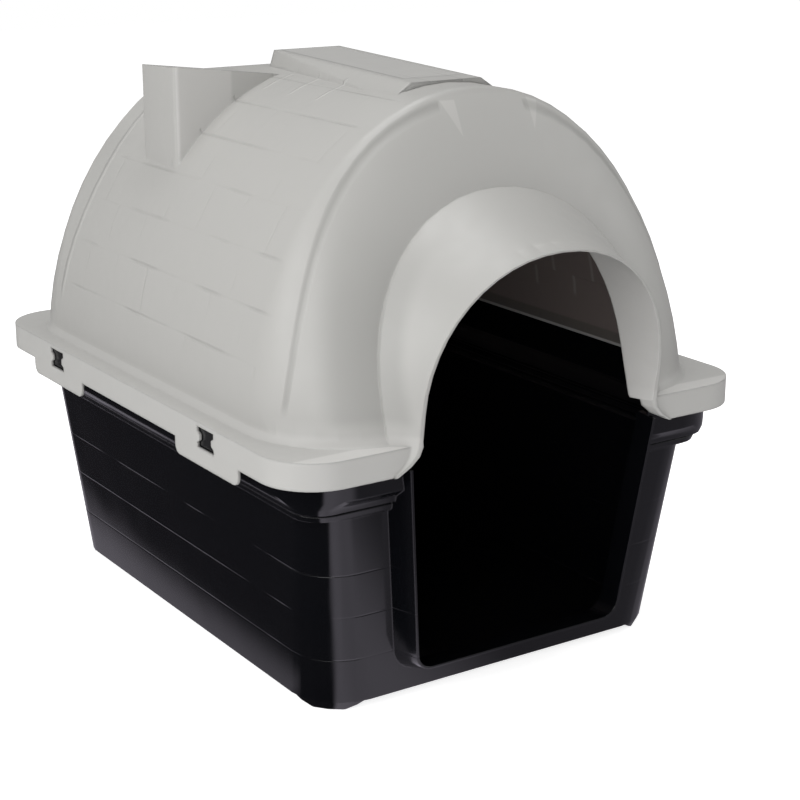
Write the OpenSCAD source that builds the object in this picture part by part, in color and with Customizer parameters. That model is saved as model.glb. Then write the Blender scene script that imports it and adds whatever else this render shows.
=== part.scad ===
// Igloo pet house, in two moulded halves: a tapered tub with a doorway and a vaulted lift-off roof with
// a chimney and a hood. Four pivoting latches on the tub's rim click into windows in the roof's skirt.
// Units are millimetres and Z is up. The doorway faces -Y. The origin is on the floor, under the middle
// of the whole length, hood included, while the sizes below count from the middle of the tub.

/* [Overall] */
// Width over the roof's skirt
roof_w = 490; // [460:1:520]
// Length over the roof's skirt
roof_l = 603; // [570:1:640]
// Space at each side between the tub's rim and the inside of the skirt, where the latches stand
side_space = 11.5; // [11:0.5:14]
// Space at each end between the tub's rim and the inside of the skirt
end_space = 6.5; // [3:0.5:10]

/* [Tub] */
// Corner radius of the tub's floor outline
floor_corner_r = 50; // [35:1:70]
// Corner radius at the top of the plain wall
wall_corner_r = 37; // [25:1:60]
// Corner radius of the two thin ridges under the rim
ridge_corner_r = 26; // [20:1:50]
// Corner radius of the rim
rim_corner_r = 57; // [40:1:65]
// Height of the tub, from its floor to the top of its rim
tub_h = 240; // [200:1:300]
// Height of the corner feet under the tub
foot_h = 8; // [4:0.5:15]
// Reach of each corner foot along both walls, at the tub's floor
foot_reach = 44.5; // [36:0.5:90]
// How much shorter that reach is on the ground
foot_slant = 14.5; // [2:0.5:16]
// How far the feet lean in, down to the floor
foot_draft = 3; // [1:0.5:5]
// Wall thickness of the tub
tub_wall = 2.5; // [2:0.1:4]
// Thickness of the tub's floor
tub_floor_t = 3; // [2:0.1:5]
// How far the side walls lean out between the floor and the ridges
side_flare = 15; // [8:0.5:18]
// How far the front and rear walls lean out between the floor and the ridges
end_flare = 18.5; // [8:0.5:19]
// Height of the plain lower wall, up to the first ridge
plain_h = 179; // [140:1:185]
// How far the lower ridge stands out past the plain side wall
ridge_out = 8; // [6:0.5:10]
// How far the upper ridge stands out past the lower one
ridge_step = 5; // [3:0.5:8]
// Height of each ridge
ridge_h = 5; // [3:0.5:8]
// How far a ridge's top stands out past its foot
ridge_lean = 1.5; // [0.5:0.1:3]
// Depth of the shadow line over the lower ridge
groove_d = 1.5; // [0.5:0.1:2]
// Height of each slanted step, under the ridges
step_h = 3; // [1:0.5:4]
// Height of the hollow slant between the upper ridge and the rim
rim_slant = 8; // [4:0.5:10]
// How far the rim stands out past the upper ridge
rim_out = 9.5; // [6:0.5:12]

/* [Doorway] */
// Width of the doorway at its sill, outside
door_w = 226; // [180:1:250]
// How far each side of the doorway leans out, up to the tub's rim
door_flare = 21; // [10:1:25]
// Height of the sill's underside over the tub's floor
sill_h = 28; // [15:1:60]
// Corner radius at the sill
sill_r = 18; // [10:1:30]
// How far the door surround stands out from the wall
surround_out = 25; // [15:1:28]
// How far each side of the surround spreads towards the wall
surround_spread = 8; // [3:0.5:10]
// Gap left between the top of the surround and the rim's top
surround_gap = 18; // [16:1:30]

/* [Roof] */
// Corner radius of the skirt
skirt_corner_r = 50; // [40:1:60]
// Wall thickness of the roof
roof_wall = 2.5; // [2:0.1:3.5]
// Depth of the skirt below the ledge's top
skirt_h = 24; // [18:1:30]
// Distance from the skirt's face to the foot of the vault, at each side
side_ledge = 20; // [12:0.5:30]
// Rise of the vault above the ledge
vault_rise = 275.5; // [220:0.5:300]
// Fullness of the vault's shoulders, lower is fuller
vault_power = 0.99; // [0.8:0.01:1]
// Distance from the skirt's face to the foot of the front wall
front_ledge = 11.5; // [9:0.5:20]
// Distance from the skirt's face to the foot of the rear wall
rear_ledge = 9.5; // [9:0.5:20]
// Radius between the barrel and the front wall
front_r = 96; // [50:1:110]
// Radius between the barrel and the rear wall
rear_r = 92; // [50:1:110]
// How far the front wall leans in for each unit of rise
front_lean = 0.29; // [0.15:0.01:0.4]
// How far the rear wall leans in for each unit of rise
rear_lean = 0.34; // [0.15:0.01:0.4]
// Drop from the crown to the flat behind the crest
facet_drop = 3; // [2:0.5:12]
// Fall of that flat for each unit towards the back
facet_fall = 0.11; // [0.05:0.01:0.25]
// Rise of the cove between the ledge and the vault
cove_h = 9; // [5:0.5:14]
// Spread of the cove over the ledge
cove_out = 6; // [3:0.5:9]

/* [Hood] */
// How far each side of the hood's mouth stands in from the doorway's side at the tub's rim
mouth_inset = 6.5; // [0:0.5:15]
// Height of the mouth's crown above the ledge
mouth_rise = 152; // [120:1:170]
// Height above the ledge where the mouth starts to curve in
mouth_spring = 24; // [10:1:60]
// How far each side of the hood stands out past the doorway's side, where it meets the wall
root_side = 12; // [4:0.5:20]
// Height of the hood's crown on the wall, above the ledge
root_rise = 191; // [170:1:210]
// How far the mouth stands out from the foot of the front wall
mouth_reach = 17; // [14:0.5:26]
// How far the mouth leans out for each unit of rise
mouth_lean = 0.14; // [0.05:0.01:0.2]
// Height above the ledge where the hood starts to curve in at the wall
root_spring = 26; // [10:1:60]
// How far the hood spreads below the ledge, at the wall
root_flare = 8; // [4:0.5:12]
// How far each side of the throat stands in from the doorway's side, at the inside of the front wall
throat_inset = 19; // [10:0.5:30]
// How far the throat's crown lies under the hood's crown at the wall
throat_drop = 10; // [6:0.5:20]
// Height above the ledge where the throat starts to curve in
throat_spring = 46; // [20:1:70]
// How far the throat's edge stands in past the front wall's outer face
throat_lip = 6; // [4:0.5:12]
// How far the hood's ends spread round the door surround
hood_flare = 22; // [20:1:26]

/* [Chimney and crest] */
// Distance of the chimney's outer face from the middle
chimney_x = 165; // [140:1:180]
// Position of the chimney's front face behind the middle
chimney_y = 38; // [0:1:80]
// Depth of the chimney, front to back
chimney_l = 70; // [50:1:100]
// Height of the chimney's outer front corner above the ledge
chimney_rise = 278; // [270:1:300]
// Fall of the chimney's top towards the middle, for each unit across
chimney_fall_x = 0.12; // [0:0.01:0.3]
// Fall of the chimney's top towards the back, for each unit along
chimney_fall_y = 0.05; // [0:0.01:0.2]
// Corner radius of the chimney
chimney_r = 5; // [3:0.5:10]
// Half-width of the flat top of the crest
crest_half_w = 37; // [20:1:45]
// Spread of each of the crest's sides down to the vault, at its back end
crest_spread_back = 5; // [2:0.5:20]
// Spread of each of the crest's sides down to the vault, at its front end
crest_spread_front = 14; // [2:0.5:20]
// Distance from the foot of the front wall back to the crest's front end
crest_setback = 130; // [115:1:180]
// Length of the crest
crest_l = 238; // [150:1:260]
// How far the crest's top stands over the vault at the back end
crest_h_back = 10; // [5:0.5:14]
// How far the crest's top stands over the vault at the front end
crest_h_front = 2; // [1:0.5:8]

/* [Latches] */
// Distance of each latch from the middle, along the house
latch_y = 156; // [120:1:180]
// Width of the skirt's window for a latch
window_w = 30; // [24:0.5:40]
// Height of the window
window_h = 19; // [15:0.5:20]
// Width of the window at its waist
window_waist = 21; // [14:0.5:26]
// Height of the straight part of that waist
waist_h = 5; // [2:0.5:8]
// Height of each slant between the waist and the full width
waist_slant = 2.5; // [1:0.5:4]
// Strip of skirt left between the window and the ledge's underside
window_top = 1.5; // [1:0.5:3]
// Length of each skirt lobe that carries a window
lobe_l = 114; // [80:1:130]
// How far a lobe hangs below the skirt
lobe_drop = 15; // [12:0.5:20]
// Corner radius of a lobe
lobe_r = 8; // [4:0.5:12]
// Thickness of a latch
latch_t = 3; // [2.5:0.1:4]
// How far a latch's button stands out past its leg
button_out = 1.5; // [1:0.1:2]
// Radius of the latch's pin
pin_r = 2; // [1.5:0.1:2.5]
// Thickness of each lug that holds a pin
lug_t = 3; // [2:0.5:5]
// Wall of a lug round its pin
lug_wall = 2; // [1.5:0.1:3]
// How far the lugs stay above a lobe's lower edge
lug_lift = 1.5; // [0.5:0.5:4]

/* [Fits] */
// Space between the rim's top and the ledge that rests on it
seat_gap = 0.1; // [0.05:0.05:0.3]
// Space between the rim's sides and the parts of the roof that reach in towards them
rim_gap = 1.5; // [0.5:0.1:3]
// Space between a latch and the window round it
window_gap = 1.2; // [1:0.1:2]
// Space between a latch at rest and the inside of the skirt
skirt_gap = 0.4; // [0.3:0.05:0.6]
// Space between the lugs and the inside of the skirt
lug_gap = 0.8; // [0.5:0.1:1.5]
// Radial play of a pin in its lugs
pin_play = 0.06; // [0.04:0.01:0.1]
// Side play of a latch between its lugs
side_play = 0.5; // [0.3:0.1:1]

/* [Hidden] */
$fn = 48;
SHELL = [0.72, 0.72, 0.70];
TUB = [0.07, 0.07, 0.075];
LATCH = [0.05, 0.05, 0.05];

// Steps of the curved outlines
CORNER_STEPS = 6;
ARCH_STEPS = 16;
END_STEPS = 8;
COVE_STEPS = 4;
HOOD_STEPS = 5;
HOOD_ARCH_STEPS = 12;
FLARE_STEPS = 3;
// Last angle of the vault's section before its crown, where its slope is still finite
LAST_ANGLE = 89.5;
// Fullness of the hood's arch, and how the hood widens from its mouth to the wall
HOOD_POWER = 0.95;
BELL_POWER = 1.35;
// How far a cut runs past the faces that it goes through, and pieces of one moulding into each other
OVER = 1;
LAP = 0.5;

// Tub: its floor outline is what the skirt leaves inside the spaces, the wall and the rim's steps
floor_z = foot_h;
wall_lean = end_flare / plain_h;
ridge_x = side_flare + ridge_out;
rim_x = ridge_x + ridge_step + ridge_lean + rim_out;
tub_w = roof_w - 2 * (roof_wall + side_space + rim_x);
tub_l = roof_l - 2 * (roof_wall + end_space + rim_x);
rim_z = floor_z + tub_h;
rim_face = tub_w / 2 + rim_x;
ridge_z = plain_h + step_h;
upper_z = ridge_z + ridge_h + step_h;
rim_foot_z = upper_z + ridge_h + rim_slant;
// Steps of the ridges and the rim, as [height over the floor, distance out, corner radius]
rim_steps = [[ridge_z, ridge_x, ridge_corner_r], [ridge_z + ridge_h, ridge_x + ridge_lean, ridge_corner_r],
             [ridge_z + ridge_h + step_h / 2, ridge_x + ridge_lean - groove_d, ridge_corner_r],
             [upper_z, ridge_x + ridge_step, ridge_corner_r],
             [upper_z + ridge_h, ridge_x + ridge_step + ridge_lean, ridge_corner_r],
             [rim_foot_z, rim_x, rim_corner_r], [tub_h, rim_x, rim_corner_r]];
// How far the inside of a slanted step lies above its outside, which keeps the wall there thick enough
wall_lift = 1;
// How far the doorway's cut runs on behind the tub's front wall
door_deep = 30;

// Roof
vault_z = rim_z + seat_gap;
ledge_z = vault_z + roof_wall;
skirt_z = ledge_z - skirt_h;
skirt_in = roof_w / 2 - roof_wall;
vault_half_w = roof_w / 2 - side_ledge;
front_reach = roof_l / 2 - front_ledge;
rear_reach = roof_l / 2 - rear_ledge;
// Depth of the vault's cavity under its foot
cavity_drop = 10;
// How far the cove's top edge sinks into the wall
cove_sink = 1.5;
// How far a lobe runs up on the skirt
lobe_lap = 4;

// Hood
door_top = door_w / 2 + door_flare;
mouth_half_w = door_top - mouth_inset;
root_half_w = door_top + root_side;
throat_half_w = door_top - throat_inset;
throat_rise = root_rise - throat_drop;
mouth_y = front_reach + mouth_reach;
// How far the hood's shapes run on past the front wall's outer face, and the throat's cut past the mouth
hood_lap = 24;
throat_over = 5;

// Crest and chimney
crest_foot_back = crest_half_w + crest_spread_back;
crest_foot_front = crest_half_w + crest_spread_front;
crest_front = crest_setback - front_reach;
crest_back = crest_front + crest_l;
// Reach of the crest's sides, as a share of their slope from the top down to the vault
crest_root = 1.6;
// How far the flat behind the crest starts under it
facet_lap = 14;
chimney_z = ledge_z + chimney_rise;
// Height over the vault's foot where the chimney starts, as a share of the vault's own height there
chimney_share = 0.64;
chimney_root = chimney_share * vault_rise * sqrt(1 - pow(chimney_x / vault_half_w, 2));

// Latches
window_z1 = vault_z - window_top;
window_z0 = window_z1 - window_h;
lug_r = pin_r + lug_wall;
pivot_x = skirt_in - lug_r - lug_gap;
pivot_z = skirt_z - lobe_drop + lug_r + lug_lift;
latch_w = window_w - 2 * window_gap;
// How far a latch's leg runs up behind its button, and how much slimmer its foot is than the lugs
leg_lap = 3;
foot_step = 0.4;

// Shift from the middle of the skirt to the middle of the whole length
mid_y = (roof_l / 2 - mouth_y - mouth_lean * mouth_rise) / 2;

// Which piece to draw: all, or one name from the list above

// Outlines

// Rounded rectangle with true arcs at its corners
module rounded(w, l, r) {
    square([w - 2 * r, l], center = true);
    square([w, l - 2 * r], center = true);
    for (x = [-1, 1], y = [-1, 1])
        translate([x * (w / 2 - r), y * (l / 2 - r)]) circle(r);
}

// Points of a rounded rectangle, of half-width a and half-length b
function rounded_pts(a, b, r) = [
    for (q = [[1, 1, 0], [-1, 1, 90], [-1, -1, 180], [1, -1, 270]], i = [0 : CORNER_STEPS])
        let (t = q[2] + 90 * i / CORNER_STEPS)
        [q[0] * (a - r) + r * cos(t), q[1] * (b - r) + r * sin(t)]
];

function at_z(pts, z) = [for (p = pts) [p[0], p[1], z]];

function blend(a, b, v) = a + (b - a) * v;

// Solid through a stack of rings that all have the same number of points
module loft(rings) {
    n = len(rings[0]);
    m = len(rings);
    sides = [for (i = [0 : m - 2], j = [0 : n - 1], k = [0, 1])
        let (a = i * n + j, b = i * n + (j + 1) % n)
        k == 0 ? [a, b + n, b] : [a, a + n, b + n]];
    caps = [[for (j = [0 : n - 1]) j], [for (j = [n - 1 : -1 : 0]) (m - 1) * n + j]];
    polyhedron(points = [for (r = rings, p = r) p], faces = concat(sides, caps));
}

// Joins the thin walls of one moulding into a single closed shape
module moulding() {
    resize([0, 0, 0]) union() children();
}

// Tub

// Ring of the plain wall at height z over the tub's floor, drawn in by inset
function wall_ring(z, inset) =
    let (v = z / plain_h, r = blend(floor_corner_r, wall_corner_r, v) - inset)
    at_z(rounded_pts(tub_w / 2 + v * side_flare - inset, tub_l / 2 + v * end_flare - inset, r), floor_z + z);

// Rings of the ridges and the rim, drawn in by inset and lifted by lift
function rim_rings(inset, lift) = [
    for (s = rim_steps)
        at_z(rounded_pts(tub_w / 2 + s[1] - inset, tub_l / 2 + s[1] - inset, s[2] - inset),
            floor_z + s[0] + lift)
];

module tub_body() {
    difference() {
        loft(concat([wall_ring(0, 0), wall_ring(plain_h, 0)], rim_rings(0, 0)));
        loft(concat([wall_ring(tub_floor_t, tub_wall), wall_ring(plain_h, tub_wall)],
            rim_rings(tub_wall, wall_lift)));
    }
}

// Outline of the door surround in a plane that leans with the wall
function door_ring(grow, top_z, y0) =
    let (zb = floor_z + sill_h - grow, r = sill_r + grow, h = rim_z - zb, half = door_w / 2 + grow,
         top_half = half + door_flare * (top_z - zb) / h,
         turn = [for (i = [0 : CORNER_STEPS]) 90 * i / CORNER_STEPS],
         flat = concat([[-top_half, top_z]],
             [for (t = turn) [r - half - r * cos(t), zb + r - r * sin(t)]],
             [for (t = turn) [half - r + r * sin(t), zb + r - r * cos(t)]],
             [[top_half, top_z]]))
    [for (p = flat) [p[0], y0 - wall_lean * (p[1] - floor_z), p[1]]];

// Block between the lip of the surround and the inside of the tub
module surround_block(grow, top_z, front, back) {
    loft([door_ring(grow + surround_spread, top_z, -tub_l / 2 + back),
          door_ring(grow, top_z, -tub_l / 2 - surround_out + front)]);
}

// Square round a corner of the tub that bounds its foot at height z
function foot_square(z) =
    let (a = foot_reach - foot_slant * (1 - z / foot_h))
    at_z([[-a, -a], [a, -a], [a, a], [-a, a]], z);

module feet() {
    intersection() {
        loft([at_z(rounded_pts(tub_w / 2 - foot_draft, tub_l / 2 - foot_draft, floor_corner_r), 0),
              wall_ring(LAP, 0)]);
        for (x = [-1, 1], y = [-1, 1])
            translate([x * tub_w / 2, y * tub_l / 2, 0])
                loft([foot_square(-OVER), foot_square(foot_h + OVER)]);
    }
}

// Pair of ears on the rim that hold one latch's pin
module latch_lugs() {
    reach = pivot_x - rim_face + tub_wall / 2;
    for (s = [-1, 1])
        translate([0, s * (latch_w / 2 + side_play + lug_t / 2), 0])
            rotate([90, 0, 0])
                linear_extrude(lug_t, center = true)
                    difference() {
                        union() {
                            circle(lug_r);
                            translate([-reach, -lug_r]) square([reach, 2 * lug_r]);
                        }
                        circle(pin_r + pin_play);
                    }
}

module at_latches() {
    for (x = [0, 1], y = [-1, 1])
        mirror([x, 0, 0]) translate([pivot_x, y * latch_y, pivot_z]) children();
}

module base_tub() {
    color(TUB) {
        moulding() difference() {
            union() {
                tub_body();
                surround_block(0, rim_z - surround_gap, 0, tub_wall / 2);
            }
            surround_block(-tub_wall, rim_z + OVER, -OVER, door_deep);
        }
        feet();
        at_latches() latch_lugs();
    }
}

// Roof

// Half of the vault's cross-section, stepped from its foot to the crown, grown by g and then drawn in
function arch_half(g, inset) = [
    for (i = [0 : ARCH_STEPS])
        let (t = LAST_ANGLE * i / ARCH_STEPS, c = cos(t), s = sin(t),
             w = vault_half_w + g, h = vault_rise + g,
             dx = vault_power * w * pow(c, vault_power - 1) * s, dz = h * c, m = norm([dx, dz]))
        [i == ARCH_STEPS ? 0 : w * pow(c, vault_power) - inset * dz / m, h * s - inset * dx / m]
];

// Whole cross-section, closed by a line that lies drop below its foot
function arch_pts(g, inset, drop) =
    let (half = arch_half(g, inset), n = len(half) - 1)
    concat([[-half[0][0], -drop]], [for (i = [0 : n]) [-half[i][0], half[i][1]]],
        [for (i = [n - 1 : -1 : 0]) half[i]], [[half[0][0], -drop]]);

function lean_of(side) = side > 0 ? rear_lean : front_lean;
function radius_of(side) = side > 0 ? rear_r : front_r;
function reach_of(side) = side > 0 ? rear_reach : front_reach;

// Cross-section set at an angle a round the rounded end; a is 0 on the barrel and 90 on the end wall
function vault_ring(g, drop, a, side) =
    let (r = radius_of(side) + g, end = reach_of(side) + g - r * (1 - sin(a)), lean = lean_of(side) * sin(a))
    [for (p = arch_pts(g, r * (1 - cos(a)), drop)) [p[0], side * (end - lean * p[1]), vault_z + p[1]]];

// Barrel vault with a rounded, leaning end wall at the front and at the back
module vault(g, drop) {
    loft(concat([for (i = [END_STEPS : -1 : 0]) vault_ring(g, drop, 90 * i / END_STEPS, -1)],
        [for (i = [0 : END_STEPS]) vault_ring(g, drop, 90 * i / END_STEPS, 1)]));
}

// Plan of the vault at height z over its foot, grown by out, with the same corner steps as the vault
function foot_ring(out, z) = [
    for (q = [[1, 1, 0], [-1, 1, 1], [-1, -1, 0], [1, -1, 1]], i = [0 : END_STEPS])
        let (a = 90 * (q[2] == 0 ? i : END_STEPS - i) / END_STEPS, r = radius_of(q[1]) + out)
        [q[0] * (vault_half_w + out - r * (1 - cos(a))),
         q[1] * (reach_of(q[1]) + out - r * (1 - sin(a)) - lean_of(q[1]) * sin(a) * z), vault_z + z]
];

// Vault with the flat that falls away behind the crest
module crowned_vault(g, drop) {
    difference() {
        vault(g, drop);
        translate([-vault_half_w, crest_back - facet_lap, vault_z + vault_rise + g - facet_drop])
            rotate([-atan(facet_fall), 0, 0])
                cube([2 * vault_half_w, rear_reach, facet_drop + rear_reach * facet_fall + facet_lap]);
    }
}

// Small cove round the foot of the vault, whose top edge sinks into the wall
module cove() {
    loft([for (i = [0 : COVE_STEPS])
        let (a = 90 * i / COVE_STEPS, out = cove_out * (1 - sin(a)) - (i == COVE_STEPS ? cove_sink : 0))
        foot_ring(out, roof_wall / 2 + (cove_h + roof_wall / 2) * (1 - cos(a)))]);
}

module skirt() {
    difference() {
        translate([0, 0, skirt_z])
            linear_extrude(ledge_z - skirt_z) rounded(roof_w, roof_l, skirt_corner_r);
        translate([0, 0, skirt_z - OVER])
            linear_extrude(vault_z - skirt_z + OVER)
                rounded(roof_w - 2 * roof_wall, roof_l - 2 * roof_wall, skirt_corner_r - roof_wall);
    }
}

// Room inside the skirt for the tub's rim
module rim_space() {
    translate([0, 0, skirt_z - lobe_drop - OVER])
        linear_extrude(vault_z - skirt_z + lobe_drop + OVER)
            rounded(2 * (rim_face + rim_gap), tub_l + 2 * (rim_x + rim_gap), rim_corner_r + rim_gap);
}

// Flexible tab of the skirt, drawn in its own plane
module lobe_outline() {
    translate([-lobe_l / 2 + lobe_r, -lobe_drop]) square([lobe_l - 2 * lobe_r, lobe_drop + lobe_lap]);
    translate([-lobe_l / 2, -lobe_drop + lobe_r]) square([lobe_l, lobe_drop - lobe_r + lobe_lap]);
    for (s = [-1, 1])
        translate([s * (lobe_l / 2 - lobe_r), -lobe_drop + lobe_r]) circle(lobe_r);
}

module lobes() {
    for (s = [-1, 1], y = [-1, 1])
        translate([s * (skirt_in + roof_wall / 2), y * latch_y, skirt_z])
            rotate([90, 0, 90]) linear_extrude(roof_wall, center = true) lobe_outline();
}

// Waisted outline of a latch's window round its own middle, drawn in by gap
module window_outline(gap) {
    w = window_w / 2 - gap;
    n = window_waist / 2 - gap;
    h = window_h / 2 - gap;
    low = waist_h / 2;
    high = low + waist_slant;
    side = [[w, -h], [w, -high], [n, -low], [n, low], [w, high], [w, h]];
    polygon(concat(side, [for (i = [len(side) - 1 : -1 : 0]) [-side[i][0], side[i][1]]]));
}

module latch_windows() {
    for (s = [-1, 1], y = [-1, 1])
        translate([s * (skirt_in + roof_wall / 2), y * latch_y, (window_z0 + window_z1) / 2])
            rotate([90, 0, 90]) linear_extrude(3 * roof_wall, center = true) window_outline(0);
}

// Arch in a leaning plane: straight up to the spring, then an oval crown, spread below the ledge
function hood_ring(half, spring, rise, y0, lean, flare, bottom) =
    let (up = [for (i = [0 : HOOD_ARCH_STEPS])
            let (t = 90 * i / HOOD_ARCH_STEPS)
            [half * pow(max(0, cos(t)), HOOD_POWER), spring + (rise - spring) * pow(sin(t), HOOD_POWER)]],
        low = [for (i = [0 : FLARE_STEPS])
            let (z = bottom * (1 - i / FLARE_STEPS))
            [half + flare * pow(z / skirt_h, 2), z]],
        side = concat(low, up))
    [for (k = [0 : 1], i = [0 : len(side) - 1 - k])
        let (p = k == 0 ? side[i] : side[len(side) - 2 - i])
        [(k == 0 ? -1 : 1) * p[0], y0 - lean * p[1], ledge_z + p[1]]];

// Ring of the hood's bell, from 0 at its mouth to 1 at the wall
function bell_ring(v, g, cut, deep = 0) =
    let (f = pow(v, BELL_POWER))
    hood_ring(half = blend(mouth_half_w, root_half_w, f) + g,
        spring = blend(mouth_spring, root_spring, v),
        rise = blend(mouth_rise, root_rise, f) + g,
        y0 = deep + cut - blend(mouth_y, front_reach, v),
        lean = blend(mouth_lean, -front_lean, v),
        flare = blend(hood_flare, root_flare, v),
        bottom = -skirt_h);

// Outside of the hood, a bell that opens from its mouth to the wall; g grows it and cut shortens the mouth
module hood_bell(g, cut) {
    loft(concat([for (i = [0 : HOOD_STEPS]) bell_ring(i / HOOD_STEPS, g, cut)],
        [bell_ring(1, g, cut, hood_lap)]));
}

// Passage from the mouth back through the front wall; g grows it
module hood_throat(g, front, back) {
    lip = g - roof_wall;
    flare = hood_flare + root_flare;
    low = -skirt_h - OVER;
    mouth = hood_ring(mouth_half_w + lip, mouth_spring, mouth_rise + lip, -mouth_y - front, mouth_lean,
        hood_flare, low);
    inner = [for (y = [throat_lip, back])
        hood_ring(throat_half_w + g, throat_spring, throat_rise + g, y - front_reach, -front_lean, flare,
            low)];
    loft(concat([mouth], inner));
}

// Section of the crest: a flat top, with sides that slope out to the vault at foot and on into it
function crest_ring(y, foot, h, g) =
    let (top = vault_z + vault_rise + h,
         root = vault_z + vault_rise * sqrt(1 - pow(foot / vault_half_w, 2)),
         x = crest_half_w + crest_root * (foot - crest_half_w) + g,
         low = top + crest_root * (root - top) + g)
    [[-x, y, low], [-crest_half_w - g, y, top + g], [crest_half_w + g, y, top + g], [x, y, low]];

// Tapered plate along the top of the vault; g grows it
module crest(g) {
    loft([crest_ring(crest_front - g, crest_foot_front, crest_h_front, g),
          crest_ring(crest_back + g, crest_foot_back, crest_h_back, g)]);
}

// Chimney from inside the vault up to its sloping top; g grows it
module chimney(g) {
    w = chimney_x - crest_half_w;
    outline = [for (p = rounded_pts(w / 2 + g, chimney_l / 2 + g, chimney_r + g))
        [p[0] - chimney_x + w / 2, p[1] + chimney_y + chimney_l / 2]];
    loft([at_z(outline, vault_z + chimney_root),
          [for (p = outline) [p[0], p[1], chimney_z + g - chimney_fall_x * (p[0] + chimney_x)
              - chimney_fall_y * (p[1] - chimney_y)]]]);
}

module roof_shell() {
    color(SHELL)
        moulding() difference() {
            union() {
                skirt();
                lobes();
                cove();
                crowned_vault(0, 0);
                crest(0);
                chimney(0);
                hood_bell(0, 0);
            }
            difference() {
                union() {
                    crowned_vault(-roof_wall, cavity_drop);
                    crest(-roof_wall);
                    chimney(-roof_wall);
                    hood_bell(-roof_wall, roof_wall);
                }
                hood_throat(roof_wall, 0, throat_lip + OVER);
            }
            hood_throat(0, throat_over, hood_lap);
            rim_space();
            latch_windows();
        }
}

// Latches

// Button that fills the window, on a leg that stands on a foot with a pin at each end
module latch() {
    face = skirt_in - skirt_gap - pivot_x;
    window_mid = (window_z0 + window_z1) / 2 - pivot_z;
    leg_top = window_z0 + window_gap + leg_lap - pivot_z;
    translate([face - latch_t / 2, 0, window_mid])
        rotate([90, 0, 90]) linear_extrude(latch_t, center = true) window_outline(window_gap);
    translate([face - button_out - latch_t, -latch_w / 2, 0]) cube([latch_t, latch_w, leg_top]);
    rotate([90, 0, 0]) {
        cylinder(h = latch_w, r = lug_r - foot_step, center = true);
        cylinder(h = latch_w + 2 * (side_play + lug_t), r = pin_r, center = true);
    }
}

module place_latch(side, end) {
    color(LATCH)
        mirror([side < 0 ? 1 : 0, 0, 0]) translate([pivot_x, end * latch_y, pivot_z]) latch();
}

module latch_front_left() { place_latch(-1, -1); }
module latch_front_right() { place_latch(1, -1); }
module latch_rear_left() { place_latch(-1, 1); }
module latch_rear_right() { place_latch(1, 1); }

translate([0, -mid_y, 0]) {
    base_tub();
    roof_shell();
    latch_front_left();
    latch_front_right();
    latch_rear_left();
    latch_rear_right();
}
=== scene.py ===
import math

import bpy
from mathutils import Matrix, Vector

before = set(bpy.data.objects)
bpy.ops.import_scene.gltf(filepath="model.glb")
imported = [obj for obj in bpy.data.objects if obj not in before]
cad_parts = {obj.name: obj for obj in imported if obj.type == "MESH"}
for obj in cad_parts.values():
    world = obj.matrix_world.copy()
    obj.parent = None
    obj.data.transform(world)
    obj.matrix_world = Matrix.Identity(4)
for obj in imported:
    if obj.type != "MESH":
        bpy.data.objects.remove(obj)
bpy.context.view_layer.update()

# Camera, solved from the photo's straight edges
CAM_POS = (-0.9230, -1.4643, 0.7135)
CAM_YAW = math.radians(33.56)
CAM_PITCH = math.radians(16.61)
CAM_LENS = 82.15
CAM_SENSOR = 36.0
CAM_REACH = 50.0

# A zone's limit is a pair: its edge, and how far it fades past that edge. A level is four numbers: where it
# starts and stops changing, and how much it is there. Places are in metres in the row frame.

# Vault: its outer face is an ellipse, and its length round from the foot is close to
# VAULT_ARC * angle + VAULT_SWING * sin(2 * angle)
VAULT_FOOT_Z = 0.2481
VAULT_HALF_W = 0.225
VAULT_RISE = 0.2755
VAULT_ARC = 0.2509
VAULT_SWING = 0.01256
VAULT_MIDDLE = (0.0, 0.0134, 0.30)

# Where the vault's skin starts and ends, and the room inside it ends, by radius as a share of the outer
# face's
SKIN_INSIDE = (0.960, 0.015)
SKIN_OUTSIDE = (1.012, 0.010)
ROOM_RADIUS = 0.996

# Front wall: its outer face at the vault's foot, and how far it leans in for each unit of rise. The room
# starts behind the hood's throat, and both lean as the wall does
WALL_FOOT_Y = -0.2766
WALL_LEAN = 0.29
THROAT_Y = (-0.272, 0.004)
ROOM_FRONT_Y = -0.2650

# Brick pattern: length and height of a brick, place of the first course round the vault, half a groove's
# width, and how noise wears the courses and the joints away
BRICK_L = 0.062
BRICK_H = 0.0452
BRICK_FIRST = 0.0155
GROOVE = 0.0022
COURSE_WEAR = (0.38, 0.62, 0.1, 1.0)
JOINT_WEAR = (0.46, 0.66, 0.0, 0.45)

# Side panel that carries the bricks: its foot round the vault, and its ends by distance from the creases
PANEL_FOOT = (0.045, 0.011)
PANEL_FRONT = (0.018, 0.022)
PANEL_REAR = (-0.030, 0.020)

# Creases at the side panel's ends: the heights of each one's foot and top with its places along the house
# there, half its width, and where it fades in over the ledge and beside the crown
FRONT_CREASE = (0.287, 0.530, -0.2213, -0.1885)
FRONT_CREASE_HALF_W = 0.0034
FRONT_CREASE_Z = (0.268, 0.016)
REAR_CREASE = (0.270, 0.430, 0.2040, 0.1835)
REAR_CREASE_HALF_W = 0.0050
REAR_CREASE_Z = (0.285, 0.025)
CREASE_MID_X = 0.008
CREASE_END_X = (0.042, 0.005)

# Painted highlights where the front creases end: small lighter triangles on both sides of FACET_MID_X,
# standing on their tips
FACET_MID_X = 0.018
FACET_SIDE_X = 0.0395
FACET_TIP_Z = 0.484
FACET_SPREAD = 0.50
FACET_EDGE = (0.0, 0.0012)
FACET_INNER_X = (0.0385, 0.0015)
FACET_TOP_Z = (0.5135, 0.0015)
FACET_REAR_Y = (-0.186, 0.002)
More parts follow.
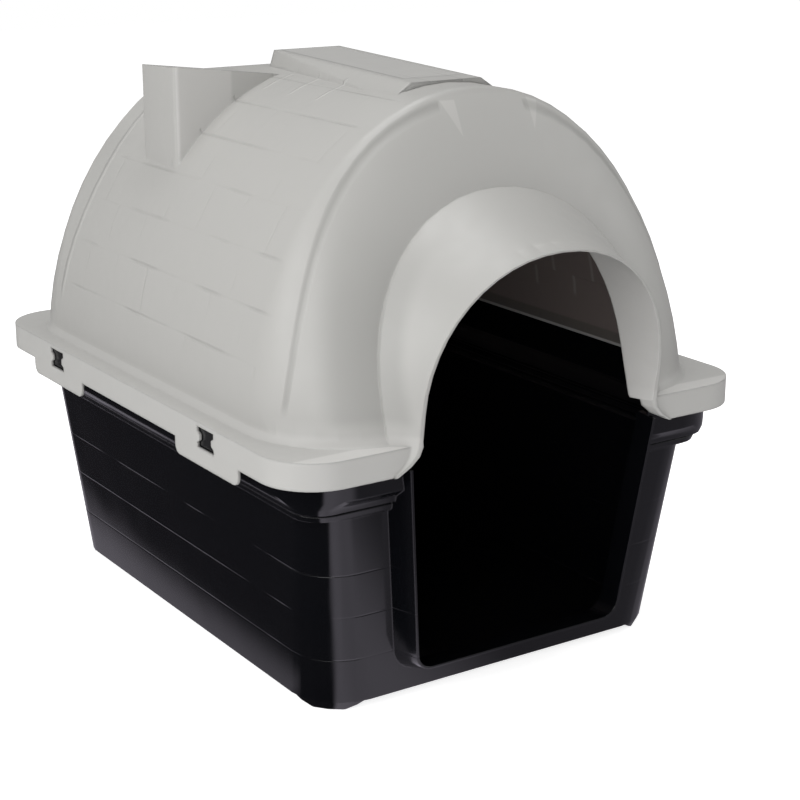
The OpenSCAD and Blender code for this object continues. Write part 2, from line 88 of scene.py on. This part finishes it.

# Ticks beside the crest, raised and painted lighter as highlights: place of one, step, half width, and where
# they start and end
TICK_Y = 0.035
TICK_STEP = 0.0475
TICK_HALF_W = 0.0022
TICKS_INNER_X = (0.046, 0.004)
TICKS_OUTER_X = (0.076, 0.010)
TICKS_FRONT_Y = (-0.085, 0.010)
TICKS_REAR_Y = (0.055, 0.010)

# Dished field on the crest's top, sunk in and painted darker as shade
FIELD_X = (0.0290, 0.0025)
FIELD_Z = (0.5225, 0.0015)
FIELD_FRONT_Y = (-0.128, 0.008)
FIELD_REAR_Y = (0.096, 0.004)

# Inside of the vault, painted darker as shade: its foot, the top of the strip along it that has deeper
# painted shade, and the marks of the joints over it
ROOM_FOOT_Z = 0.2510
STRIP_TOP_Z = (0.2600, 0.0025)
MARK_FOOT_Z = (0.285, 0.007)
MARK_HALF_W = 0.0035

# Places painted lighter or darker as light and shade: painted light on the hood's inner sides, the chimney's
# front, and the ledge with its cove, and painted shade on the front wall low down on its left side
HOOD_SIDE_X = (0.06, 0.04)
LOW_WALL_DEPTH = (0.012, 0.014)
LOW_WALL_X = (-0.13, 0.08)
LOW_WALL_FOOT_Z = (0.262, 0.013)
LOW_WALL_TOP_Z = (0.33, 0.14)
CHIMNEY_FRONT_Y = 0.0514
CHIMNEY_DEPTH = (0.0010, 0.0005)
CHIMNEY_INNER_X = (-0.108, 0.004)
CHIMNEY_FOOT_Z = (0.43, 0.03)
LEDGE_TOP_Z = (0.256, 0.006)

# Tub: heights of its course lines, the middle and half height of the wall that has them, and their wear
TUB_COURSES = (0.051, 0.093, 0.134)
COURSE_HALF_W = 0.0012
TUB_WALL_Z = 0.11
TUB_WALL_HALF_H = (0.060, 0.004)
TUB_WEAR = (0.36, 0.6, 0.3, 1.0)

# Scales of the noise textures. Most of what a noise texture gives lies between the two NOISE_ENDS
NOISE_ENDS = (0.3, 0.7)
COURSE_WEAR_SCALE = 14.0
JOINT_WEAR_SCALE = 23.0
TUB_WEAR_SCALE = 12.0
TUB_WAVE_SCALE = 7.0
ROOF_GRAIN_SCALE = 900.0
GLOSSY_GRAIN_SCALE = 700.0

# Relief, in metres out of the surface
TICK_RISE = 0.0010
FIELD_RISE = -0.0020
BRICK_RISE = -0.0006
FRONT_CREASE_RISE = -0.0009
REAR_CREASE_RISE = 0.0012
ROOF_GRAIN = 0.00003
COURSE_RISE = -0.0004
TUB_WAVES = 0.0012
TUB_GRAIN = 0.000004
LATCH_GRAIN = 0.00001

# Plastics: the ends of each one's small changes of colour and roughness, with the scales of both. The
# clouds also have the detail of their noise
ROOF_GREYS = ((0.385, 0.381, 0.366, 1.0), (0.405, 0.399, 0.384, 1.0))
ROOF_CLOUDS = (3.0, 3.0)
ROOF_ROUGH = (0.40, 0.48)
ROOF_ROUGH_SCALE = 60.0
TUB_BLACKS = ((0.0016, 0.0018, 0.0026, 1.0), (0.0026, 0.0028, 0.0038, 1.0))
TUB_CLOUDS = (2.5, 3.0)
TUB_ROUGH = (0.11, 0.16)
TUB_ROUGH_SCALE = 25.0
LATCH_BLACKS = ((0.010, 0.010, 0.010, 1.0), (0.018, 0.018, 0.019, 1.0))
LATCH_CLOUDS = (40.0, 2.0)
LATCH_ROUGH = (0.18, 0.26)
LATCH_ROUGH_SCALE = 120.0

# Tints of places on the roof, and how much of each shows. Most stand for painted light or shade
PAINTED_HIGHLIGHT_COLOR = (0.50, 0.495, 0.475, 1.0)
FACET_HIGHLIGHT_SHARE = 0.5
TICK_HIGHLIGHT_SHARE = 0.6
FIELD_SHADE_TINT = (0.46, 0.455, 0.44, 1.0)
FIELD_SHADE_SHARE = 0.40
LEDGE_LIGHT_COLOR = (0.50, 0.495, 0.48, 1.0)
LEDGE_LIGHT_SHARE = 0.40
LOW_WALL_SHADE_TINT = (0.16, 0.16, 0.15, 1.0)
LOW_WALL_SHADE_SHARE = 0.26
PAINTED_LIGHT_COLOR = (0.60, 0.59, 0.575, 1.0)
HOOD_LIGHT_SHARE = 0.55
CHIMNEY_LIGHT_SHARE = 0.35
ROOM_SHADE_TINT = (0.22, 0.185, 0.175, 1.0)
STRIP_SHADE_TINT = (0.15, 0.135, 0.125, 1.0)
MARK_TINT = (0.36, 0.32, 0.30, 1.0)
MARK_SHARE = 0.8
LINE_TINT = (0.12, 0.12, 0.11, 1.0)
BRICK_SHARE = 0.11
CREASE_SHADE_SHARE = 0.26

# Radii of the small rounding of edges. The roof's changes with height from the ledge's to the vault's, and
# the crown's is added to it
ROOF_EDGE = (0.252, 0.256, 0.0035, 0.0025)
CROWN_EDGE = 0.0045
CROWN_Z = (0.515, 0.003)
CROWN_X = (0.055, 0.005)
TUB_EDGE = 0.0018
LATCH_EDGE = 0.0008
EDGE_SAMPLES = 6

# Faces that meet at less than this many degrees are shaded as one surface, once points closer than the weld
# gap are joined
MOULDING_SMOOTH = 24.0
LATCH_SMOOTH = 30.0
WELD_GAP = 0.00001

# Stage
FLOOR_SIZE = 12.0
FLOOR_Z = -0.0005
FLOOR_GREY = (0.80, 0.80, 0.80, 1.0)
FLOOR_GLOW = 0.80
FLOOR_BOUNCE = 0.39
WHITE = (1.0, 1.0, 1.0, 1.0)
SKY_LIGHT = 0.32
LIGHT_SIZE = 1.6
LIGHT_AIM = (0.0, 0.0, 0.30)
LIGHTS = {
    "left": ((-2.3, -0.4, 1.3), 27.0),
    "front left": ((-1.9, -1.9, 1.2), 20.0),
    "right": ((2.3, -1.2, 1.3), 11.0),
    "top": ((0.0, 0.0, 2.8), 33.0),
}

# How bright the glossy tub mirrors the floor. In front it goes by the direction from the middle of the
# tub's front left corner, in radians, and by the place across; beside the tub by the place alone
MIRROR_TINT = (0.98, 0.92, 1.06, 1.0)
MIRROR_LEAST = 0.035
CORNER_X = -0.145
CORNER_Y = -0.187
FRONT_START = (-2.21, 0.13)
FRONT_END = (0.9, 0.3)
FRONT_LEFT = (-2.00, -1.60, 1.25, 1.0)
FRONT_NEAR = (-0.12, 0.04, 1.0, 0.22)
FRONT_FAR = (0.5, 0.8, 0.0, 0.2)
BESIDE_LEFT = (-0.250, -0.200, 0.0, 0.42)
BESIDE_RIGHT = (-0.10, 0.0, 1.0, 0.4)
BESIDE_FRONT_Y = (-0.205, 0.04)


class Nodes:
    """Short names for building a node tree."""

    def __init__(self, tree):
        self.tree = tree

    def new(self, kind, ins=None, **props):
        node = self.tree.nodes.new(kind)
        for name, value in props.items():
            setattr(node, name, value)
        for key, value in (ins or {}).items():
            self.put(node.inputs[key], value)
        return node

    def put(self, socket, value):
        if isinstance(value, bpy.types.NodeSocket):
            self.tree.links.new(value, socket)
        else:
            socket.default_value = value

    def math(self, op, *values):
        node = self.new("ShaderNodeMath", operation=op)
        for socket, value in zip(node.inputs, values):
            self.put(socket, value)
        return node.outputs[0]

    def chain(self, op, values):
        out = values[0]
        for value in values[1:]:
            out = self.math(op, out, value)
        return out

    def add(self, *values):
        return self.chain("ADD", values)

    def mul(self, *values):
        return self.chain("MULTIPLY", values)

    def most(self, *values):
        return self.chain("MAXIMUM", values)

    def sub(self, a, b):
        return self.math("SUBTRACT", a, b)

    def div(self, a, b):
        return self.math("DIVIDE", a, b)

    def abs(self, a):
        return self.math("ABSOLUTE", a)

    def weighted(self, *pairs):
        """Sum of values, each times its weight."""
        return self.add(*[self.mul(value, weight) for value, weight in pairs])

    def ramp(self, value, low, high, at_low=0.0, at_high=1.0):
        """Smooth step: at_low up to the value low, and at_high from the value high on."""
        node = self.new("ShaderNodeMapRange", {"Value": value, "From Min": low, "From Max": high,
                                               "To Min": at_low, "To Max": at_high})
        node.interpolation_type = "SMOOTHSTEP"
        return node.outputs["Result"]

    def past(self, value, edge, fade):
        """0 up to the edge, and 1 once past it by the fade."""
        return self.ramp(value, edge, edge + fade)

    def until(self, value, edge, fade):
        """1 up to the edge, and 0 once past it by the fade."""
        return self.ramp(value, edge, edge + fade, 1.0, 0.0)

    def line(self, distance, half_width):
        """1 on a line, 0 at half_width from it."""
        return self.ramp(self.abs(distance), 0.0, half_width, 1.0, 0.0)

    def from_nearest(self, count, step):
        """Distance from the nearest of evenly spaced lines, where count is the place in steps."""
        return self.mul(self.sub(self.math("FRACT", self.add(count, 0.5)), 0.5), step)

    def mix(self, share, a, b):
        """Blend of two colours: all a at share 0 and all b at share 1."""
        node = self.new("ShaderNodeMix", {"Factor": share}, data_type="RGBA")
        self.put(node.inputs["A"], a)
        self.put(node.inputs["B"], b)
        return node.outputs["Result"]

    def emission(self, color, strength):
        return self.new("ShaderNodeEmission", {"Color": color, "Strength": strength}).outputs[0]


class Plastic(Nodes):
    """A new material, with the place on the piece in metres as x, y and z."""

    def __init__(self, name):
        self.material = bpy.data.materials.new(name)
        self.material.use_nodes = True
        super().__init__(self.material.node_tree)
        self.shader = self.tree.nodes["Principled BSDF"]
        self.place = self.new("ShaderNodeTexCoord").outputs["Object"]
        self.x, self.y, self.z = self.new("ShaderNodeSeparateXYZ", {0: self.place}).outputs

    def noise(self, scale, detail=2.0):
        return self.new("ShaderNodeTexNoise", {"Vector": self.place, "Scale": scale, "Detail": detail,
                                               "Roughness": 0.5}).outputs["Fac"]

    def finish(self, color, rough_scale, rough, height, edge):
        """Sets colour, roughness, and a normal with the relief of height and with rounded edges."""
        bevel = self.new("ShaderNodeBevel", {"Radius": edge}, samples=EDGE_SAMPLES)
        bump = self.new("ShaderNodeBump", {"Height": height, "Distance": 1.0, "Strength": 1.0,
                                           "Normal": bevel.outputs[0]})
        self.put(self.shader.inputs["Base Color"], color)
        self.put(self.shader.inputs["Roughness"], self.ramp(self.noise(rough_scale), *NOISE_ENDS, *rough))
        self.put(self.shader.inputs["Normal"], bump.outputs[0])
        return self.material


def vault_place(m):
    """Length round the vault from its foot, and radius as a share of the outer face's."""
    up = m.div(m.sub(m.z, VAULT_FOOT_Z), VAULT_RISE)
    out = m.div(m.abs(m.x), VAULT_HALF_W)
    angle = m.math("ARCTAN2", up, out)
    along = m.weighted((angle, VAULT_ARC), (m.math("SINE", m.mul(angle, 2.0)), VAULT_SWING))
    radius = m.math("SQRT", m.add(m.mul(up, up), m.mul(out, out)))
    return along, radius


def from_crease(m, crease):
    """Distance along the house from the crease that ends a side panel."""
    return m.sub(m.y, m.ramp(m.z, *crease))


def crease_line(m, distance, half_width, foot, near_vault):
    """Line of a crease from its foot up to the crown."""
    beside_crown = m.past(m.abs(m.sub(m.x, CREASE_MID_X)), *CREASE_END_X)
    return m.mul(m.line(distance, half_width), near_vault, beside_crown, m.past(m.z, *foot))


def brick_rows(m, along):
    """Distances from the nearest course and from the nearest upright joint. Every other row is shifted."""
    row = m.div(m.sub(along, BRICK_FIRST), BRICK_H)
    shift = m.mul(m.math("FRACT", m.mul(m.math("FLOOR", row), 0.5)), BRICK_L)
    course = m.from_nearest(row, BRICK_H)
    joint = m.from_nearest(m.div(m.add(m.y, shift), BRICK_L), BRICK_L)
    return course, joint


def brick_lines(m, course, joint, panel):
    """Brick pattern on the side panel, worn away in places."""
    courses = m.mul(m.line(course, GROOVE), panel, m.ramp(m.noise(COURSE_WEAR_SCALE), *COURSE_WEAR))
    joints = m.mul(m.line(joint, GROOVE), panel, m.ramp(m.noise(JOINT_WEAR_SCALE), *JOINT_WEAR))
    return m.most(courses, joints)


def facet_highlights(m):
    """Painted highlights: small lighter triangles where the front creases end at the crown."""
    flank = m.abs(m.sub(m.x, FACET_MID_X))
    inward = m.sub(m.mul(m.sub(m.z, FACET_TIP_Z), FACET_SPREAD), m.sub(flank, FACET_SIDE_X))
    return m.mul(m.past(inward, *FACET_EDGE), m.past(flank, *FACET_INNER_X), m.until(m.z, *FACET_TOP_Z),
                 m.until(m.y, *FACET_REAR_Y))


def crest_ticks(m, on_vault):
    """Short raised ticks beside the crest."""
    across = m.abs(m.x)
    tick = m.line(m.from_nearest(m.div(m.sub(m.y, TICK_Y), TICK_STEP), TICK_STEP), TICK_HALF_W)
    return m.mul(tick, on_vault, m.past(across, *TICKS_INNER_X), m.until(across, *TICKS_OUTER_X),
                 m.past(m.y, *TICKS_FRONT_Y), m.until(m.y, *TICKS_REAR_Y))


def crest_field(m):
    """Dished field on the crest's top."""
    return m.mul(m.until(m.abs(m.x), *FIELD_X), m.past(m.z, *FIELD_Z), m.past(m.y, *FIELD_FRONT_Y),
                 m.until(m.y, *FIELD_REAR_Y))


def upright_place(m):
    """Place along the house, with the front wall's lean taken out."""
    return m.sub(m.y, m.mul(m.sub(m.z, VAULT_FOOT_Z), WALL_LEAN))


def faces_in(m):
    """1 where the surface looks towards the middle of the vault."""
    normal = m.new("ShaderNodeNewGeometry").outputs["Normal"]
    outward = m.new("ShaderNodeVectorMath", {0: m.place, 1: VAULT_MIDDLE}, operation="SUBTRACT").outputs[0]
    facing = m.new("ShaderNodeVectorMath", {0: normal, 1: outward}, operation="DOT_PRODUCT").outputs["Value"]
    return m.math("LESS_THAN", facing, 0.0)


def room_inside(m, inward, radius, upright):
    """Inside of the vault, behind the throat and over the ledge, which is painted darker as shade."""
    return m.mul(inward, m.math("LESS_THAN", radius, ROOM_RADIUS),
                 m.math("GREATER_THAN", upright, ROOM_FRONT_Y), m.math("GREATER_THAN", m.z, ROOM_FOOT_Z))


def hood_sides(m, inward, upright):
    """Inner sides of the hood, up to its throat, where painted light goes."""
    return m.mul(inward, m.until(upright, *THROAT_Y), m.past(m.abs(m.x), *HOOD_SIDE_X))


def low_wall_shade(m, upright):
    """Where painted shade darkens the front wall low down on its left side."""
    depth = m.abs(m.sub(upright, WALL_FOOT_Y))
    return m.mul(m.until(depth, *LOW_WALL_DEPTH), m.until(m.x, *LOW_WALL_X), m.until(m.z, *LOW_WALL_TOP_Z),
                 m.past(m.z, *LOW_WALL_FOOT_Z))


def chimney_front(m):
    """Front face of the chimney, where painted light goes."""
    depth = m.abs(m.sub(m.y, CHIMNEY_FRONT_Y))
    return m.mul(m.until(depth, *CHIMNEY_DEPTH), m.until(m.x, *CHIMNEY_INNER_X), m.past(m.z, *CHIMNEY_FOOT_Z))


def roof_plastic():
    """Satin warm grey, with the roof's fine relief, painted shade on its inside and in a few other places,
    and painted light in others.
    """
    m = Plastic("roof_plastic")
    along, radius = vault_place(m)
    near_vault = m.until(radius, *SKIN_OUTSIDE)
    on_vault = m.mul(m.past(radius, *SKIN_INSIDE), near_vault)
    from_front = from_crease(m, FRONT_CREASE)
    from_rear = from_crease(m, REAR_CREASE)
    front_crease = crease_line(m, from_front, FRONT_CREASE_HALF_W, FRONT_CREASE_Z, near_vault)
    rear_crease = crease_line(m, from_rear, REAR_CREASE_HALF_W, REAR_CREASE_Z, near_vault)
    panel = m.mul(on_vault, m.past(from_front, *PANEL_FRONT), m.until(from_rear, *PANEL_REAR),
                  m.past(along, *PANEL_FOOT))
    course, joint = brick_rows(m, along)
    bricks = brick_lines(m, course, joint, panel)
    ticks = crest_ticks(m, on_vault)
    field = crest_field(m)

    inward = faces_in(m)
    upright = upright_place(m)
    room = room_inside(m, inward, radius, upright)
    marks = m.mul(m.line(joint, MARK_HALF_W), room, m.past(m.z, *MARK_FOOT_Z))
    tints = (
        # painted highlights on the triangles at the front creases' ends and on the ticks
        (m.most(m.mul(facet_highlights(m), FACET_HIGHLIGHT_SHARE), m.mul(ticks, TICK_HIGHLIGHT_SHARE)), PAINTED_HIGHLIGHT_COLOR),
        # painted shade on the crest's dished field
        (m.mul(field, FIELD_SHADE_SHARE), FIELD_SHADE_TINT),
        # painted light on everything below the ledge's top: the ledge and the skirt
        (m.mul(m.until(m.z, *LEDGE_TOP_Z), LEDGE_LIGHT_SHARE), LEDGE_LIGHT_COLOR),
        # painted shade on the front wall low down on its left side
        (m.mul(low_wall_shade(m, upright), LOW_WALL_SHADE_SHARE), LOW_WALL_SHADE_TINT),
        # painted light on the hood's inner sides and on the chimney's front
        (m.weighted((hood_sides(m, inward, upright), HOOD_LIGHT_SHARE), (chimney_front(m), CHIMNEY_LIGHT_SHARE)),
         PAINTED_LIGHT_COLOR),
        # painted shade inside the vault, deeper along the strip at its foot
        (room, ROOM_SHADE_TINT),
        (m.mul(room, m.until(m.z, *STRIP_TOP_Z)), STRIP_SHADE_TINT),
        (m.mul(marks, MARK_SHARE), MARK_TINT),
        # the brick lines' own dark joints, and painted shade in the front crease's real groove
        (m.most(m.mul(bricks, BRICK_SHARE), m.mul(front_crease, CREASE_SHADE_SHARE)), LINE_TINT),
    )
    color = m.mix(m.noise(*ROOF_CLOUDS), *ROOF_GREYS)
    for share, tint in tints:
        color = m.mix(share, color, tint)

    height = m.weighted((ticks, TICK_RISE), (field, FIELD_RISE), (bricks, BRICK_RISE),
                        (front_crease, FRONT_CREASE_RISE), (rear_crease, REAR_CREASE_RISE),
                        (m.noise(ROOF_GRAIN_SCALE, 1.0), ROOF_GRAIN))
    crown = m.mul(m.past(m.z, *CROWN_Z), m.until(m.abs(m.x), *CROWN_X))
    edge = m.add(m.mul(crown, CROWN_EDGE), m.ramp(m.z, *ROOF_EDGE))
    return m.finish(color, ROOF_ROUGH_SCALE, ROOF_ROUGH, height, edge)


def tub_plastic():
    """Gloss black, with slightly wavy walls and three course lines."""
    m = Plastic("tub_plastic")
    wall = m.until(m.abs(m.sub(m.z, TUB_WALL_Z)), *TUB_WALL_HALF_H)
    courses = m.most(*[m.line(m.sub(m.z, level), COURSE_HALF_W) for level in TUB_COURSES])
    courses = m.mul(courses, wall, m.ramp(m.noise(TUB_WEAR_SCALE), *TUB_WEAR))
    height = m.weighted((courses, COURSE_RISE), (m.noise(TUB_WAVE_SCALE), TUB_WAVES),
                        (m.noise(GLOSSY_GRAIN_SCALE, 1.0), TUB_GRAIN))
    color = m.mix(m.noise(*TUB_CLOUDS), *TUB_BLACKS)
    return m.finish(color, TUB_ROUGH_SCALE, TUB_ROUGH, height, TUB_EDGE)


def latch_plastic():
    """Semi-gloss black."""
    m = Plastic("latch_plastic")
    height = m.mul(m.noise(GLOSSY_GRAIN_SCALE, 1.0), LATCH_GRAIN)
    color = m.mix(m.noise(*LATCH_CLOUDS), *LATCH_BLACKS)
    return m.finish(color, LATCH_ROUGH_SCALE, LATCH_ROUGH, height, LATCH_EDGE)


def smooth(obj, angle):
    """Rounds the shading of a CAD node where its faces meet at less than this angle."""
    weld = obj.modifiers.new("weld", "WELD")
    weld.merge_threshold = WELD_GAP
    split = obj.modifiers.new("split", "EDGE_SPLIT")
    split.split_angle = math.radians(angle)
    split.use_edge_sharp = False
    for attribute in ("custom_normal", "sharp_face", "sharp_edge"):
        if attribute in obj.data.attributes:
            obj.data.attributes.remove(obj.data.attributes[attribute])
    for face in obj.data.polygons:
        face.use_smooth = True


def dress(node, material, angle):
    """Gives a CAD node its material and its smooth shading."""
    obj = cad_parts[node]
    obj.data.materials.clear()
    obj.data.materials.append(material)
    smooth(obj, angle)


def mirrored_floor(n, x, y):
    """Level of the mirrored floor: bright in front, dark on the left but for a strip close to the wall."""
    around = n.math("ARCTAN2", n.sub(y, CORNER_Y), n.sub(x, CORNER_X))
    front = n.mul(n.past(around, *FRONT_START), n.until(around, *FRONT_END), n.ramp(around, *FRONT_LEFT),
                  n.most(n.ramp(x, *FRONT_NEAR), n.ramp(x, *FRONT_FAR)))
    beside = n.mul(n.ramp(x, *BESIDE_LEFT), n.past(y, *BESIDE_FRONT_Y), n.ramp(x, *BESIDE_RIGHT))
    return n.most(beside, front, MIRROR_LEAST)


def floor_white():
    """Plain floor. It looks white to the camera, lights the house from below, and is mirrored by the tub
    as a studio's floor would be."""
    material = bpy.data.materials.new("floor_white")
    material.use_nodes = True
    n = Nodes(material.node_tree)
    n.tree.nodes.remove(n.tree.nodes["Principled BSDF"])
    ray = n.new("ShaderNodeLightPath").outputs
    position = n.new("ShaderNodeNewGeometry").outputs["Position"]
    x, y, _ = n.new("ShaderNodeSeparateXYZ", {0: position}).outputs
    plain = n.new("ShaderNodeBsdfDiffuse", {"Color": FLOOR_GREY}).outputs[0]
    seen = n.new("ShaderNodeAddShader", {0: plain, 1: n.emission(WHITE, FLOOR_GLOW)}).outputs[0]
    lit = n.new("ShaderNodeAddShader", {0: plain, 1: n.emission(WHITE, FLOOR_BOUNCE)}).outputs[0]
    mirrored = n.emission(MIRROR_TINT, mirrored_floor(n, x, y))
    direct = n.new("ShaderNodeMixShader", {0: ray["Is Camera Ray"], 1: lit, 2: seen}).outputs[0]
    surface = n.new("ShaderNodeMixShader", {0: ray["Is Glossy Ray"], 1: direct, 2: mirrored}).outputs[0]
    n.put(n.tree.nodes["Material Output"].inputs["Surface"], surface)
    return material


def build_floor():
    bpy.ops.mesh.primitive_plane_add(size=FLOOR_SIZE, location=(0.0, 0.0, FLOOR_Z))
    floor = bpy.context.object
    floor.name = "floor"
    floor.data.materials.append(floor_white())


def build_world():
    """Soft light from all round. The camera sees plain white."""
    world = bpy.data.worlds.new("studio")
    bpy.context.scene.world = world
    world.use_nodes = True
    n = Nodes(world.node_tree)
    ray = n.new("ShaderNodeLightPath").outputs
    light = n.tree.nodes["Background"]
    n.put(light.inputs["Color"], WHITE)
    n.put(light.inputs["Strength"], SKY_LIGHT)
    white = n.new("ShaderNodeBackground", {"Color": WHITE, "Strength": 1.0})
    sky = n.new("ShaderNodeMixShader", {0: ray["Is Camera Ray"], 1: light.outputs[0], 2: white.outputs[0]})
    n.put(n.tree.nodes["World Output"].inputs["Surface"], sky.outputs[0])


def area_light(name, position, power):
    data = bpy.data.lights.new(name, "AREA")
    data.shape = "SQUARE"
    data.size = LIGHT_SIZE
    data.energy = power
    obj = bpy.data.objects.new(name, data)
    obj.location = position
    obj.rotation_euler = (Vector(LIGHT_AIM) - Vector(position)).to_track_quat("-Z", "Y").to_euler()
    bpy.context.scene.collection.objects.link(obj)


def build_camera():
    """Camera at the photo's place and angle."""
    data = bpy.data.cameras.new("camera")
    data.lens = CAM_LENS
    data.sensor_width = CAM_SENSOR
    data.clip_end = CAM_REACH
    camera = bpy.data.objects.new("camera", data)
    ahead = Vector((math.sin(CAM_YAW) * math.cos(CAM_PITCH), math.cos(CAM_YAW) * math.cos(CAM_PITCH),
                    -math.sin(CAM_PITCH)))
    right = Vector((math.cos(CAM_YAW), -math.sin(CAM_YAW), 0.0))
    above = right.cross(ahead)
    turn = Matrix((right, above, -ahead)).transposed().to_4x4()
    camera.matrix_world = Matrix.Translation(CAM_POS) @ turn
    bpy.context.scene.collection.objects.link(camera)
    bpy.context.scene.camera = camera


build_camera()
dress("roof_shell", roof_plastic(), MOULDING_SMOOTH)
dress("base_tub", tub_plastic(), MOULDING_SMOOTH)
latch_look = latch_plastic()
for end in ("front", "rear"):
    for side in ("left", "right"):
        dress(f"latch_{end}_{side}", latch_look, LATCH_SMOOTH)
build_floor()
build_world()
for light_name, (light_position, light_power) in LIGHTS.items():
    area_light(light_name, light_position, light_power)
bpy.context.scene.view_settings.view_transform = "Standard"
